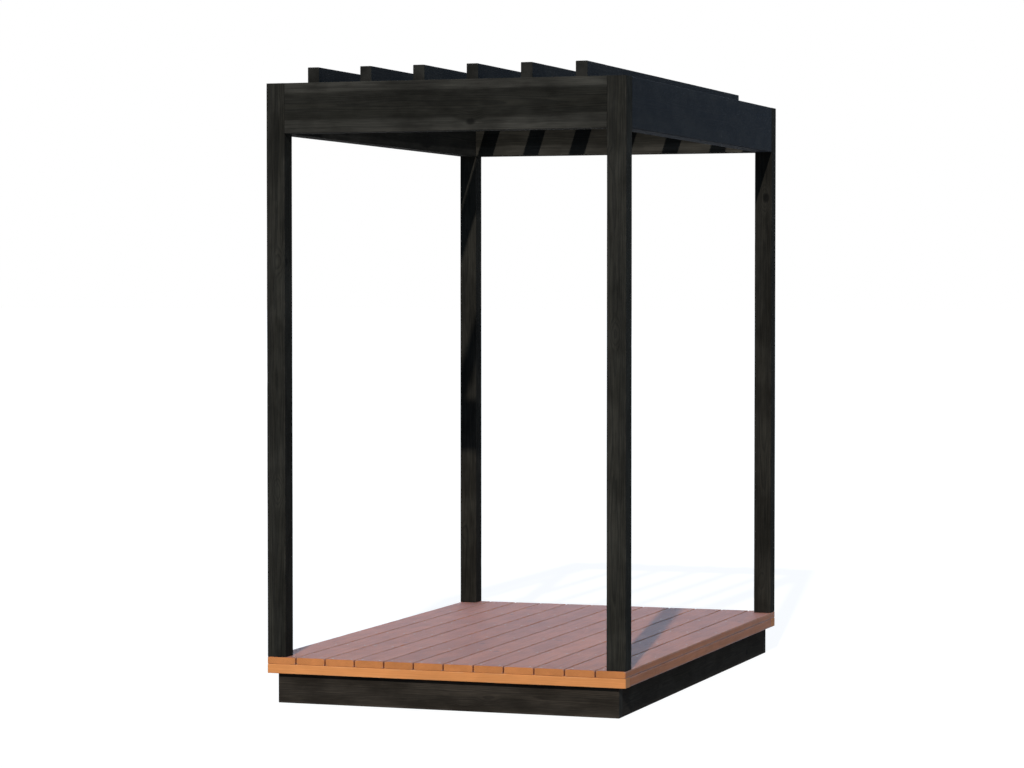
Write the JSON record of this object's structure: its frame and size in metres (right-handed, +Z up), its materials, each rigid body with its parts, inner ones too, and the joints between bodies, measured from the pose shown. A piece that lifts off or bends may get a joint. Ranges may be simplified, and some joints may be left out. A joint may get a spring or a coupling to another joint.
{
  "type": "wooden pergola",
  "caption": "Free-standing wooden pergola: dark square posts on a boarded deck with an inset plinth carry flush beams and an open roof of rafters, to shade a seat or a way.",
  "frame": {"origin": "on the ground, under the middle of the deck", "axes": "+X across the front to the right, +Y from front to back, +Z up"},
  "size_m": [1.495, 2.33, 2.533],
  "materials": {
    "dark_stain": "planed softwood with a charcoal-black stain, matt, faint grain",
    "deck_wood": "planed decking with a red-brown oil, blue-grey sheen at a low angle, brighter sawn ends",
    "rim_wood": "planed softwood with an orange-brown oil",
    "joist_wood": "bare planed softwood"
  },
  "bodies": {
    "root": {"plinth_front": "dark_stain", "plinth_back": "dark_stain", "plinth_left": "dark_stain", "plinth_right": "dark_stain", "plinth_middle": "dark_stain", "rim_front": "rim_wood", "rim_back": "rim_wood", "rim_left": "deck_wood", "rim_right": "deck_wood", "joist_1": "joist_wood", "joist_2": "joist_wood", "joist_3": "joist_wood", "joist_4": "joist_wood", "deck_board_01": "deck_wood", "deck_board_02": "deck_wood", "deck_board_03": "deck_wood", "deck_board_04": "deck_wood", "deck_board_05": "deck_wood", "deck_board_06": "deck_wood", "deck_board_07": "deck_wood", "deck_board_08": "deck_wood", "deck_board_09": "deck_wood", "deck_board_10": "deck_wood", "deck_board_11": "deck_wood", "deck_board_12": "deck_wood", "post_front_left": "dark_stain", "post_front_right": "dark_stain", "post_back_left": "dark_stain", "post_back_right": "dark_stain", "beam_front": "dark_stain", "beam_back": "dark_stain", "beam_left": "dark_stain", "beam_right": "dark_stain", "rafter_1": "dark_stain", "rafter_2": "dark_stain", "rafter_3": "dark_stain", "rafter_4": "dark_stain", "rafter_5": "dark_stain", "rafter_6": "dark_stain"}
  },
  "joints": []
}
